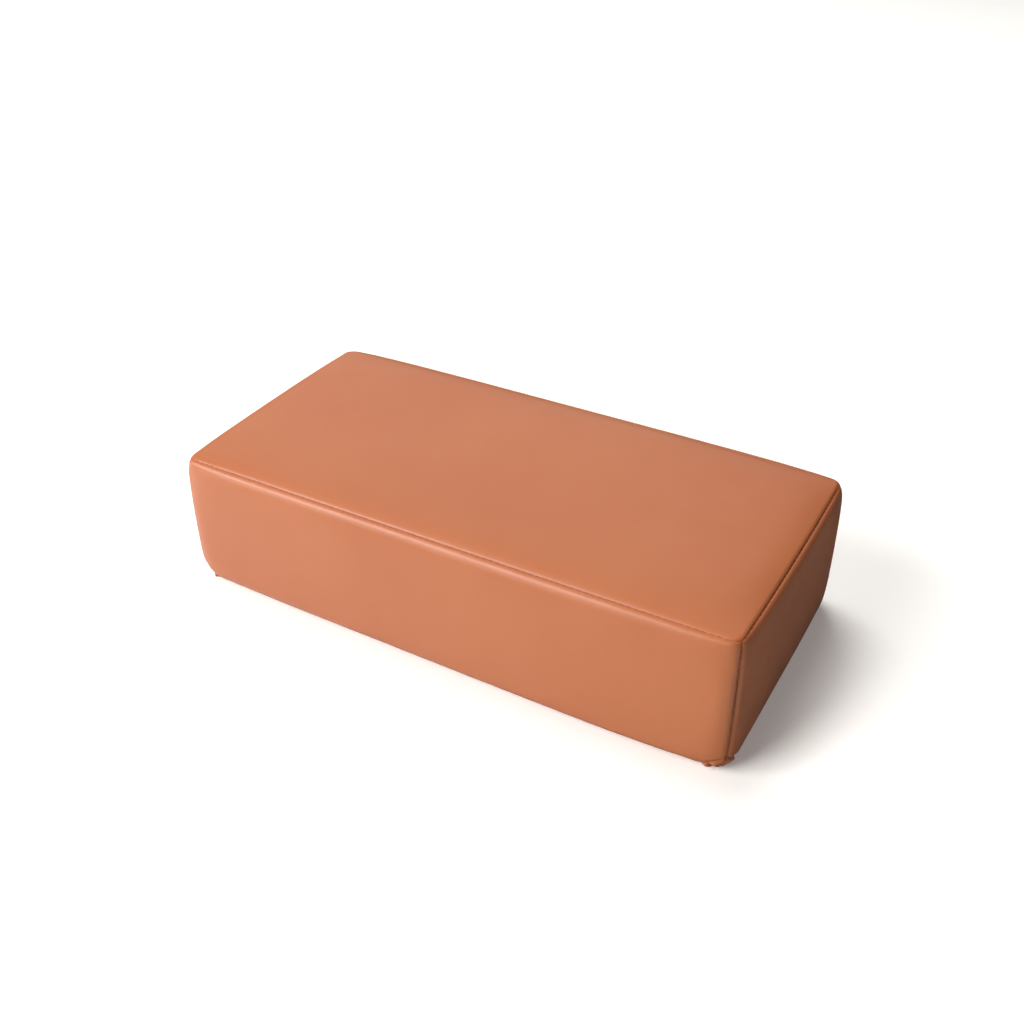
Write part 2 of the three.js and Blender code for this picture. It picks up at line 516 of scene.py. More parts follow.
# ------------------------------------------------------------------ form of the cover


class Face(Enum):
    """The five panels, each with the turn about Z that brings the front panel onto it."""

    TOP = None
    FRONT = 0
    RIGHT = 90
    BACK = 180
    LEFT = 270

    @property
    def long(self) -> bool:
        """Tell whether the side runs along X."""
        return self in (Face.FRONT, Face.BACK)


SIDES = (Face.FRONT, Face.RIGHT, Face.BACK, Face.LEFT)


@dataclass(frozen=True)
class BlockForm:
    """The stuffed block as a rounded box, with its sizes taken from the fixed frame.

    The sharp box is where the panels would meet if they had no rounding. Each point of the
    cover is first placed on the sharp box, then rounded, bowed and swollen.
    """

    thread_to_edge: float = 3.45 * MM  # upright thread's middle inside the sharp box's sides
    seam_below_top: float = 1.1 * MM  # top seam's middle below the sharp box's top
    top_radius: tuple[float, float] = (2.6 * MM, 4.2 * MM)  # down the long sides, down the ends
    top_ease: tuple[float, float] = (6.0 * MM, 3.0 * MM)  # in over the top
    base_radius: float = 9.0 * MM
    base_corner_radius: float = 4.0 * MM
    upright_radius: float = 3.6 * MM
    upright_radius_top: float = 7.0 * MM
    upright_radius_base: float = 4.0 * MM
    top_blend: float = 12.0 * MM  # height over which the upright corners open to the top
    seam_shift: float = math.radians(17)  # turns the upright seams towards the ends
    corner_reach: float = 24.0 * MM  # how far the drawn-in base corners reach
    bow_top: tuple[float, float] = (1.4 * MM, 1.0 * MM)  # long sides, short sides
    bow_base: tuple[float, float] = (2.4 * MM, 0.3 * MM)
    bow_lean: tuple[float, float] = (0.75, 0.5)  # more bow towards +X and towards +Y
    cut_reach: tuple[float, float, float] = (11 * MM, 11 * MM, 15 * MM)
    # front left, front right, back left, back right
    cut_extra: tuple[float, ...] = (1.0 * MM, -1.6 * MM, 0.2 * MM, 1.9 * MM)
    cut_ease: float = 0.5 * MM

    @property
    def half(self) -> tuple[float, float]:
        """Give half of the sharp box's length and depth."""
        thread = centre_of("corner_thread_back_right")
        return thread.x + self.thread_to_edge, thread.y + self.thread_to_edge

    @property
    def top(self) -> float:
        """Give the height of the sharp box's top."""
        return centre_of("top_seam_thread").z + self.seam_below_top

    @property
    def base(self) -> float:
        """Give the height of the hem's underside."""
        return box_of("front_panel")[0].z

    def upright(self, point: Array) -> Array:
        """Give the plan radius of the upright corners.

        Args:
            point: Points on the sharp box.

        Returns:
            The radius at the height of each point.
        """
        from_base = smoothstep(1 - (point[:, 2] - self.base) / self.corner_reach)
        from_top = smoothstep(1 - (self.top - point[:, 2]) / self.top_blend)
        radius = mix(self.upright_radius, self.upright_radius_base, from_base)
        return mix(radius, self.upright_radius_top, from_top)

    def corner_share(self, point: Array) -> Array:
        """Give how close each point is to an upright corner, from 0 to 1."""
        away = np.linalg.norm(np.array(self.half) - np.abs(point[:, :2]), axis=1)
        return smoothstep(1 - away / self.corner_reach)

    def round_plan(self, point: Array) -> tuple[Array, Array, Array]:
        """Round the sharp box's upright corners.

        Args:
            point: Points on the sharp box.

        Returns:
            The plan positions, the outward plan directions and the distances from the side.
        """
        half = np.array(self.half)
        radius = self.upright(point)[:, None]
        side = np.where(point[:, :2] < 0, -1.0, 1.0)
        flat = np.abs(point[:, :2])
        past = (flat - (half - radius)) / radius
        in_corner = (past > 0).all(axis=1)
        share = past.max(axis=1, keepdims=True)
        angle = np.arctan2(past[:, 1], past[:, 0])
        angle = angle - self.seam_shift * np.sin(2 * angle)
        turn = np.column_stack([np.cos(angle), np.sin(angle)])
        curved = half - radius + radius * share * turn
        gap = half - flat
        nearest = np.eye(2)[gap.argmin(axis=1)]
        plan = np.where(in_corner[:, None], curved, flat) * side
        out = np.where(in_corner[:, None], turn, nearest) * side
        inset = np.where(in_corner, (radius * (1 - share))[:, 0], gap.min(axis=1))
        return plan, out, np.maximum(inset, 0.0)

    def round_edges(self, point: Array, plan: Array, out: Array, inset: Array) -> tuple[Array, Array]:
        """Round the top and base edges.

        Args:
            point: Points on the sharp box.
            plan: Their rounded plan positions.
            out: Outward plan directions.
            inset: Distances from the side.

        Returns:
            The rounded points and their outward normals.
        """
        corner = self.corner_share(point)
        upper = point[:, 2] > (self.top + self.base) / 2
        base = mix(self.base_radius, self.base_corner_radius, corner)
        toward_end = out[:, 0] ** 2
        reach_in = np.where(upper, mix(*self.top_ease, toward_end), base)
        reach_up = np.where(upper, mix(*self.top_radius, toward_end), base)
        level = np.where(upper, self.top - point[:, 2], point[:, 2] - self.base)
        across = np.maximum(1 - inset / reach_in, 0.0)
        along = np.maximum(1 - level / reach_up, 0.0)
        size = np.maximum(np.hypot(across, along), 1e-9)
        rounded = (across > 0) & (along > 0)
        new_inset = np.where(rounded, reach_in * (1 - across / size), inset)
        new_level = np.where(rounded, reach_up * (1 - along / size), level)
        height = np.where(upper, self.top - new_level, self.base + new_level)
        flat_wall = np.where(inset / reach_in <= level / reach_up, 1.0, 0.0)
        lean_out = np.where(size > 1e-8, across / reach_in, flat_wall)
        lean_up = np.where(size > 1e-8, along / reach_up, 1 - flat_wall)
        placed = np.column_stack([plan + out * (inset - new_inset)[:, None], height])
        normal = np.column_stack([out * lean_out[:, None], lean_up * np.where(upper, 1.0, -1.0)])
        return placed, normal / np.linalg.norm(normal, axis=1, keepdims=True)

    def bow(self, point: Array) -> Array:
        """Swell each side's plan outline past the line between its corners.

        Args:
            point: Points on the rounded box.

        Returns:
            The moved points.
        """
        half_x, half_y = self.half
        rise = np.clip((point[:, 2] - self.base) / (self.top - self.base), 0.0, 1.0)
        along_x = np.clip(1 - (point[:, 0] / half_x) ** 4, 0.0, 1.0)
        along_y = np.clip(1 - (point[:, 1] / half_y) ** 2, 0.0, 1.0)
        lean = 1 + self.bow_lean[0] * point[:, 0] / half_x * (1 - rise)
        lean = lean + self.bow_lean[1] * point[:, 1] / half_y * rise
        out_y = mix(self.bow_base[0], self.bow_top[0], rise) * along_x * lean
        out_x = mix(self.bow_base[1], self.bow_top[1], rise) * along_y
        moved = point.copy()
        moved[:, 0] += point[:, 0] / half_x * out_x
        moved[:, 1] += point[:, 1] / half_y * out_y
        return moved

    def cut_corners(self, point: Array) -> Array:
        """Draw the base corners in to a slanting flat, with a soft change at its rim.

        Args:
            point: Points on the bowed box.

        Returns:
            The moved points.
        """
        slope = 1 / np.array(self.cut_reach)
        depth = 1 / np.linalg.norm(slope)
        slope *= depth
        corners = [(x, y) for y in (-1, 1) for x in (-1, 1)]
        for (side_x, side_y), extra in zip(corners, self.cut_extra):
            corner = np.array([side_x * self.half[0], side_y * self.half[1], self.base])
            way = slope * (side_x, side_y, -1)
            past = (point - corner) @ way + depth + extra
            push = self.cut_ease * np.logaddexp(0.0, past / self.cut_ease)
            point = point - push[:, None] * way
        return point

    def place(self, point: Array) -> tuple[Array, Array]:
        """Place points of the sharp box on the rounded and bowed block.

        Args:
            point: Points on the sharp box.

        Returns:
            The placed points and their outward normals.
        """
        plan, out, inset = self.round_plan(point)
        placed, normal = self.round_edges(point, plan, out, inset)
        return self.cut_corners(self.bow(placed)), normal


# ------------------------------------------------------------------ pressure


@dataclass
class CoverPressure:
    """The swell of each panel, from pressure on a coarse cover that is held along its seams."""

    form: BlockForm
    cell: float = 10.0 * MM
    last_frame: int = 20
    pressure: float = 4.0
    quality: int = 4
    mass: float = 0.3
    stretch_stiffness: float = 30
    shear_stiffness: float = 20
    bending_stiffness: float = 4
    near: float = 0.1 * MM
    dome_points: int = 41
    swell: dict[Face, Array] = field(default_factory=dict)

    def coarse_box(self) -> Object:
        """Build the coarse cover as a box of square cells, with its seams and base pinned.

        Returns:
            The coarse cover.
        """
        half_x, half_y = self.form.half
        size = Vector((2 * half_x, 2 * half_y, self.form.top - self.form.base))
        bm = cut_box(size, Vector((0, 0, (self.form.top + self.form.base) / 2)), self.cell)
        box = new_object("pressed_cover", bm)
        pins = box.vertex_groups.new(name="seams")
        pins.add([v.index for v in box.data.vertices if self._held(v.co)], 1.0, "REPLACE")
        return box

    def _held(self, point: Vector) -> bool:
        """Tell whether a point of the coarse cover lies on a seam or on the base.

        Args:
            point: A point of the coarse cover.

        Returns:
            Whether the simulation holds it.
        """
        half_x, half_y = self.form.half
        gaps = (abs(point.x) - half_x, abs(point.y) - half_y, point.z - self.form.top)
        on_side = [abs(gap) < self.near for gap in gaps]
        return sum(on_side) > 1 or point.z - self.form.base < self.near

    def press(self) -> None:
        """Run the cloth simulation and keep each panel's swell as a grid that peaks at 1."""
        box = self.coarse_box()
        rest = np.array([v.co for v in box.data.vertices])
        cloth = box.modifiers.new("pressure", "CLOTH")
        settings = cloth.settings
        settings.quality = self.quality
        settings.mass = self.mass
        settings.tension_stiffness = settings.compression_stiffness = self.stretch_stiffness
        settings.shear_stiffness = self.shear_stiffness
        settings.bending_stiffness = self.bending_stiffness
        settings.vertex_group_mass = "seams"
        settings.use_pressure = True
        settings.uniform_pressure_force = self.pressure
        settings.effector_weights.gravity = 0
        cloth.point_cache.frame_start = 1
        cloth.point_cache.frame_end = self.last_frame
        scene = bpy.context.scene
        for number in range(1, self.last_frame + 1):
            scene.frame_set(number)
        pressed = box.evaluated_get(bpy.context.evaluated_depsgraph_get()).to_mesh()
        moved = np.array([v.co for v in pressed.vertices]) - rest
        scene.frame_set(1)
        bpy.data.objects.remove(box)
        self._keep(rest, moved)

    def _keep(self, rest: Array, moved: Array) -> None:
        """Sort the simulated movement into one grid for each panel.

        Args:
            rest: The coarse cover's points before the simulation.
            moved: How far each point moved.
        """
        low, high = rest.min(axis=0), rest.max(axis=0)
        cells = np.rint((high - low) / self.cell).astype(int)
        spot = np.rint((rest - low) / (high - low) * cells).astype(int)
        sides = {Face.TOP: (2, 1), Face.FRONT: (1, -1), Face.BACK: (1, 1),
                 Face.RIGHT: (0, 1), Face.LEFT: (0, -1)}
        for face, (out, way) in sides.items():
            along, up = (axis for axis in range(3) if axis != out)
            chosen = spot[:, out] == (cells[out] if way > 0 else 0)
            grid = np.zeros((cells[along] + 1, cells[up] + 1))
            grid[spot[chosen, along], spot[chosen, up]] = moved[chosen, out] * way
            self.swell[face] = grid / max(grid.max(), 1e-9)
            log.info("pressure lifts the %s panel by %.1f mm", face.name.lower(), grid.max() / MM)

    def at(self, face: Face, across: Array, up: Array) -> Array:
        """Read a panel's swell between its grid's points.

        Args:
            face: The panel.
            across: Places along the panel, from 0 to 1.
            up: Places up or over the panel, from 0 to 1.

        Returns:
            The swell at each place, from 0 to about 1.
        """
        grid = self.swell[face]
        i = np.clip(across, 0, 1) * (grid.shape[0] - 1)
        j = np.clip(up, 0, 1) * (grid.shape[1] - 1)
        i0 = np.minimum(i.astype(int), grid.shape[0] - 2)
        j0 = np.minimum(j.astype(int), grid.shape[1] - 2)
        s, t = i - i0, j - j0
        low = mix(grid[i0, j0], grid[i0 + 1, j0], s)
        high = mix(grid[i0, j0 + 1], grid[i0 + 1, j0 + 1], s)
        return mix(low, high, t)


# ------------------------------------------------------------------ cover


@dataclass(frozen=True)
class Lip:
    """The rolled edge that a panel has along a seam."""

    roll: float  # depth at the seam
    width: float

    def depth(self, run: Array) -> Array:
        """Give how deep the edge lies at a distance from the seam along the cover."""
        inside = np.clip(1 - run / self.width, 0.0, 1.0)
        return self.roll * (1 - np.sqrt(1 - inside ** 2))


@dataclass
class Seam:
    """The edges that the panels have along a seam, and the groove between two of them."""

    top_lip: Lip = Lip(0.42 * MM, 1.6 * MM)
    side_lip: Lip = Lip(0.22 * MM, 0.6 * MM)
    upright_lip: Lip = Lip(0.62 * MM, 1.1 * MM)
    tail: float = 1.4 * MM  # allowance that goes on into the groove
    stitch: float = 4.0 * MM
    pucker: float = 0.12 * MM  # dimple at each stitch
    rows: tuple[float, ...] = tuple(
        x * MM for x in (0.0, 0.04, 0.14, 0.32, 0.6, 0.95, 1.4, 1.95, 2.6, 3.4, 4.3, 5.2, 6.2, 7.2)
    )

    @property
    def tails(self) -> tuple[float, ...]:
        """Give the depths of the rows that go on into the groove."""
        return self.tail, self.tail / 2

    def from_edge(self, gap: Array, radius: Array | float, other: Array | float | None = None) -> Array:
        """Turn a distance from the sharp box's edge into a distance along the rounded cover.

        Args:
            gap: Distances from the edge.
            radius: Reach of the rounding on this side of the edge.
            other: Its reach on the other side, if that differs.

        Returns:
            The distances along the cover.
        """
        stretch = np.sqrt((1 + ((radius if other is None else other) / radius) ** 2) / 2)
        bent = radius * (math.pi / 4 - np.arctan((radius - gap) / radius))
        return stretch * np.where(gap < radius, bent, radius * math.pi / 4) + np.maximum(gap - radius, 0.0)


@dataclass(frozen=True)
class Fold:
    """One fold of the spare cover, across the tuck."""

    place: float  # along the tuck from the upright seam
    width: float
    height: float


@dataclass
class Pleats:
    """The tuck over each base corner and the folds below it, which take up the spare cover."""

    tuck: tuple[float, float] = (20.0 * MM, 11.0 * MM)  # where the tuck ends along the base and up the seam
    tuck_depth: float = 1.0 * MM
    recess: float = 0.25 * MM  # how far the folded cover lies behind the panel above it
    folds: tuple[Fold, ...] = (
        Fold(-2.6 * MM, 1.6 * MM, 0.8 * MM),
        Fold(1.2 * MM, 1.3 * MM, 0.9 * MM),
        Fold(4.7 * MM, 0.9 * MM, -0.9 * MM),
        Fold(7.4 * MM, 1.4 * MM, 1.3 * MM),
        Fold(12.5 * MM, 2.6 * MM, 0.6 * MM),
    )
    reach: float = 24.0 * MM  # how far the folds run under the base
    shift: float = 0.6 * MM  # how far a corner's folds may sit from their places
    fade: tuple[float, float] = (6.0 * MM, 4.0 * MM)  # where the crease fades, under the base and up the side

    def past(self, gap: Array, level: Array) -> Array:
        """Give how far points lie beyond the tuck, below 0 where the cover is folded."""
        return gap / self.tuck[0] + level / self.tuck[1] - 1

    def closed(self, gap: Array, level: Array) -> Array:
        """Give how far the upright groove is closed where the cover is folded over it."""
        return 0.7 * smoothstep(-self.past(gap, level) / 0.3)

    def lift(self, gap: Array, level: Array, under: Array, seed: Array) -> Array:
        """Give the height of the tuck and the folds.

        Args:
            gap: Distances from the upright edge of the sharp box.
            level: Heights above the underside.
            under: Distances under the base from the side.
            seed: A number for each corner that shifts its folds a little.

        Returns:
            The outward move of each point.
        """
        past = self.past(gap, level)
        along = (gap * self.tuck[0] - level * self.tuck[1]) / math.hypot(*self.tuck)
        along = along + self.shift * np.sin(seed * 2.1)
        folded = np.zeros_like(gap)
        for fold in self.folds:
            folded = folded + fold.height * np.exp(-(((along - fold.place) / fold.width) ** 2))
        fade = smoothstep((self.fade[0] - under) / self.fade[0])
        fade = fade * (0.3 + 0.7 * smoothstep(level / self.fade[1]))
        crease = -self.tuck_depth * np.exp(-((past / 0.09) ** 2)) - self.recess * smoothstep(-past / 0.1)
        window = smoothstep(-past / 0.25) * smoothstep((self.reach - under) / (0.5 * self.reach))
        return crease * fade + folded * window


@dataclass
class Cover:
    """The five sewn panels."""

    form: BlockForm
    pressure: CoverPressure
    material: Material
    seam: Seam = field(default_factory=Seam)
    pleats: Pleats = field(default_factory=Pleats)
    thickness: float = 0.9 * MM
    hem: float = 30.0 * MM
    allowance: float = 8.0 * MM  # spare cloth past each seam
    side_pitch: float = 1.34 * MM
    top_pitch: float = 1.6 * MM
    wall_pitch: float = 2.6 * MM
    pleat_pitch: float = 0.75 * MM
    bend_pitch: float = 0.9 * MM
    hem_pitch: float = 2.0 * MM
    pleated: float = 14.0 * MM  # finely divided stretch beside the upright seams
    bend: tuple[float, float] = (16.0 * MM, 9.0 * MM)  # the same above the base edge and under it
    same_point: float = 0.001 * MM
    top_lift: float = 10.0 * MM  # free swell of the top before the foam's flatness caps it
    top_cap: float = 2.7 * MM
    side_lift: float = 21.0 * MM
    side_cap: tuple[float, float] = (3.4 * MM, 2.5 * MM)  # long sides, short sides
    waves: float = 0.22 * MM
    calm: float = 12.0 * MM  # margin along the seams where the waves fade
    pucker_reach: float = 1.3 * MM
    dent: float = 0.35 * MM  # under each hem staple
    hem_flat: float = 4.0 * MM  # how far under the base the hem starts to lie flat
    filled: tuple[float, float] = (25.0 * MM, 19.0 * MM)  # how deep the filling follows the sides and the top

    def undulation(self, point: Array) -> Array:
        """Give the cover's slight unevenness.

        Args:
            point: Points of the cover.

        Returns:
            The outward move of each point.
        """
        x, y, z = point.T
        long = np.sin(31 * x + 17 * y + 1.3) * np.sin(43 * y - 11 * z + 0.4)
        short = np.sin(73 * x - 29 * y + 19 * z + 2.2) * np.sin(61 * z + 47 * y + 0.9)
        return self.waves * (0.7 * long + 0.3 * short)

    def capped(self, face: Face, across: Array, up: Array) -> Array:
        """Give a panel's swell, flattened where the foam holds it.

        Args:
            face: The panel.
            across: Places along the panel, from 0 to 1.
            up: Places up or over the panel, from 0 to 1.

        Returns:
            The swell in metres.
        """
        lift, cap = self.side_lift, self.side_cap[0 if face.long else 1]
        if face is Face.TOP:
            lift, cap = self.top_lift, self.top_cap
        return cap * np.tanh(np.maximum(self.pressure.at(face, across, up), 0.0) * lift / cap)

    @staticmethod
    def groove(one: Array, other: Array, tail: Array) -> Array:
        """Join the rolled edges of a panel's two nearest seams into one depth."""
        return (one ** 4 + other ** 4) ** 0.25 + tail

    def pucker(self, along: Array, run: Array) -> Array:
        """Give the dimples of the stitches along a seam."""
        wave = 0.5 - 0.5 * np.cos(2 * math.pi * along / self.seam.stitch)
        return self.seam.pucker * wave * np.exp(-run / self.pucker_reach)

    def press_out(self, point: Array) -> Array:
        """Give how far the filling follows the panels' swell.

        Args:
            point: Points of the filling's sharp box.

        Returns:
            The move of each point.
        """
        half = self.form.half
        share = point[:, :2] / (2 * np.array(half)) + 0.5
        up = (point[:, 2] - self.form.base) / (self.form.top - self.form.base)
        push = np.zeros_like(point)
        for face in SIDES:
            out, way = (1 if face.long else 0), (-1.0 if face in (Face.FRONT, Face.LEFT) else 1.0)
            near = smoothstep(1 - (half[out] - way * point[:, out]) / self.filled[0])
            push[:, out] += way * near * self.capped(face, share[:, 1 - out], up)
        near = smoothstep(1 - (self.form.top - point[:, 2]) / self.filled[1])
        push[:, 2] = near * self.capped(Face.TOP, share[:, 0], share[:, 1])
        return push

    # ---- grid lines

    def edge_lines(self) -> Lines:
        """Give the lines beside a seam, as distances from the edge and depths into the groove."""
        return [(0.0, deep) for deep in self.seam.tails] + [(row, 0.0) for row in self.seam.rows]

    @staticmethod
    def even_lines(start: float, end: float, pitch: float) -> Lines:
        """Give evenly spaced lines from past the start up to the end."""
        return [(place, 0.0) for place in steps(start, end, pitch) + [end]]

    @staticmethod
    def both_ways(edge: Lines, half: float, pitch: float) -> Lines:
        """Lay lines inwards from both ends of a panel and fill its middle.

        Args:
            edge: The lines from one end inwards.
            half: Half of the panel's length.
            pitch: Largest gap between the lines in the middle.

        Returns:
            The lines from end to end, with places from the panel's middle.
        """
        reach = edge[-1][0] - half
        middle = [(place, 0.0) for place in steps(reach, -reach, pitch)]
        first = [(place - half, deep) for place, deep in edge]
        return first + middle + [(-place, deep) for place, deep in reversed(first)]

    def side_lines(self, half: float) -> Lines:
        """Give the lines along a side, which are close together beside the upright seams.

        Args:
            half: Half of the side's length.

        Returns:
            The lines from one upright seam to the other.
        """
        last = self.seam.rows[-1]
        edge = self.edge_lines() + self.even_lines(last, last + self.pleated, self.pleat_pitch)
        return self.both_ways(edge, half, self.side_pitch)

    def drop_lines(self) -> Lines:
        """Give the lines down a side and on under the base.

        Returns:
            The lines from the top seam to the hem's end.
        """
        height = self.form.top - self.form.base
        low, turn, end = height - self.bend[0], height + self.bend[1], height + self.hem
        wall = self.even_lines(self.seam.rows[-1], low, self.wall_pitch)
        under = self.even_lines(low, turn, self.bend_pitch) + self.even_lines(turn, end, self.hem_pitch)
        return self.edge_lines() + wall + under

    # ---- points

    def top_points(self, x: Array, y: Array, tail_x: Array, tail_y: Array) -> Array:
        """Give the top panel's points.

        Args:
            x: Places along the length on the sharp box.
            y: Places along the depth on the sharp box.
            tail_x: Depths into the grooves at the ends.
            tail_y: Depths into the grooves along the length.

        Returns:
            The points of the finished surface.
        """
        half_x, half_y = self.form.half
        sharp = np.column_stack([x, y, np.full_like(x, self.form.top)])
        placed, normal = self.form.place(sharp)
        over, down = self.form.top_ease, self.form.top_radius
        run_x = self.seam.from_edge(half_x - np.abs(x), over[1], down[1])
        run_y = self.seam.from_edge(half_y - np.abs(y), over[0], down[0])
        swell = self.capped(Face.TOP, x / (2 * half_x) + 0.5, y / (2 * half_y) + 0.5)
        near = np.minimum(run_x, run_y)
        wave = self.undulation(placed) * smoothstep(near / self.calm)
        dimple = np.where(run_x < run_y, self.pucker(placed[:, 1], run_x), self.pucker(placed[:, 0], run_y))
        lip = self.seam.top_lip
        inward = self.groove(lip.depth(run_x), lip.depth(run_y), tail_x + tail_y) + dimple
        return placed + normal * (swell + wave - inward)[:, None]

    def side_points(self, face: Face, along: Array, drop: Array, tail_side: Array, tail_top: Array) -> Array:
        """Give a side panel's points.

        Args:
            face: The side.
            along: Places along the side on the sharp box.
            drop: Distances from the top edge, down the side and on under the base.
            tail_side: Depths into the grooves of the upright seams.
            tail_top: Depths into the groove of the top seam.

        Returns:
            The points of the finished surface.
        """
        half_x, half_y = self.form.half
        half, away = (half_x, half_y) if face.long else (half_y, half_x)
        height = self.form.top - self.form.base
        under = np.maximum(drop - height, 0.0)
        level = np.maximum(height - drop, 0.0)
        reach = along * (half - under) / half
        sharp = np.column_stack([reach, -(away - under), self.form.base + level])
        turned = self.turn(sharp, face)
        placed, normal = self.form.place(turned)
        gap = half - np.abs(along)
        run_side = self.seam.from_edge(gap, self.form.upright(turned))
        run_side = run_side + self.pleats.closed(gap, level) * self.seam.upright_lip.width
        edge = 0 if face.long else 1
        run_top = self.seam.from_edge(drop, self.form.top_radius[edge], self.form.top_ease[edge])
        swell = self.capped(face, self.across(face, along, half), 1 - np.minimum(drop / height, 1))
        near = np.minimum(run_side, run_top)
        wave = self.undulation(placed) * smoothstep(near / self.calm) * smoothstep(level / self.calm)
        corner = np.where(along < 0, 1.0, 2.0) + SIDES.index(face) * 2.0
        fold = self.pleats.lift(gap, level, under, corner)
        upright = self.seam.upright_lip.depth(run_side)
        inward = self.groove(upright, self.seam.side_lip.depth(run_top), tail_side + tail_top)
        inward = inward + self.pucker(along, run_top)
        inward = inward + self.pucker(drop, run_side) * (under <= 0)
        points = placed + normal * (swell + wave + fold - inward)[:, None]
        pressed = self.dent * staple_press(points, "hem_staple") * (under > self.hem_flat)
        points[:, 2] = np.maximum(points[:, 2], self.form.base) + pressed
        return points

    @staticmethod
    def across(face: Face, along: Array, half: float) -> Array:
        """Give places along a side as shares of the simulated grid, which runs along +X or +Y."""
        way = -1.0 if face in (Face.BACK, Face.LEFT) else 1.0
        return way * along / (2 * half) + 0.5

    @staticmethod
    def turn(point: Array, face: Face) -> Array:
        """Turn points of the front side onto another side."""
        spin = np.array(Matrix.Rotation(math.radians(face.value), 3, "Z"))
        return point @ spin.T

    # ---- meshes

    def panel(self, node: str, flat: tuple[float, float], rests_on: list[str], columns: Lines, rows: Lines,
              points: Callable[[Array, Array, Array, Array], Array]) -> None:
        """Args:
            node: The CAD panel that it stands for.
            flat: The size that it is cut to; not used.
            rests_on: What it lies on; not used.
            columns: Places and groove depths of the lines across.
            rows: Places and groove depths of the lines up.
            points: Gives the finished points for places across and up and for groove depths across and up.
        """
        bm = bmesh.new()
        bmesh.ops.create_grid(bm, x_segments=len(columns) - 1, y_segments=len(rows) - 1, size=0.5)
        grid = np.array([v.co for v in bm.verts])
        i = np.rint((grid[:, 0] + 0.5) * (len(columns) - 1)).astype(int)
        j = np.rint((grid[:, 1] + 0.5) * (len(rows) - 1)).astype(int)
        across, deep_across = np.array(columns)[i].T
        up, deep_up = np.array(rows)[j].T
        for vertex, co in zip(bm.verts, points(across, up, deep_across, deep_up)):
            vertex.co = co
        bmesh.ops.remove_doubles(bm, verts=bm.verts, dist=self.same_point)
        self.face_out(bm)
        panel = add_piece("cover_" + node.replace("_panel", ""), bm, self.material, node)
        thicken(panel, self.thickness)

    def face_out(self, bm: Bmesh) -> None:
        """Turn a panel's faces away from the middle of the block.

        Args:
            bm: The panel.
        """
        bmesh.ops.recalc_face_normals(bm, faces=bm.faces)
        middle = Vector((0, 0, (self.form.top + self.form.base) / 2))
        total = sum((f.calc_center_median() - middle).dot(f.normal) * f.calc_area() for f in bm.faces)
        if total < 0:
            bmesh.ops.reverse_faces(bm, faces=bm.faces)

    def build(self) -> None:
        """Build the five panels."""
        long, short = self.form.half
        spare = 2 * self.allowance
        lines = [self.both_ways(self.edge_lines(), half, self.top_pitch) for half in (long, short)]
        self.panel("top_panel", (2 * long + spare, 2 * short + spare), ["comfort_foam"], *lines,
                   self.top_points)
        drop = self.form.top - self.form.base + self.hem + self.allowance
        names = {Face.FRONT: "front_panel", Face.RIGHT: "right_end_panel",
                 Face.BACK: "back_panel", Face.LEFT: "left_end_panel"}
        for face, node in names.items():
            half = long if face.long else short
            self.panel(node, (2 * half + spare, drop), ["foam_core", "base_board"],
                       self.side_lines(half), self.drop_lines(), partial(self.side_points, face))


# ------------------------------------------------------------------ stitches


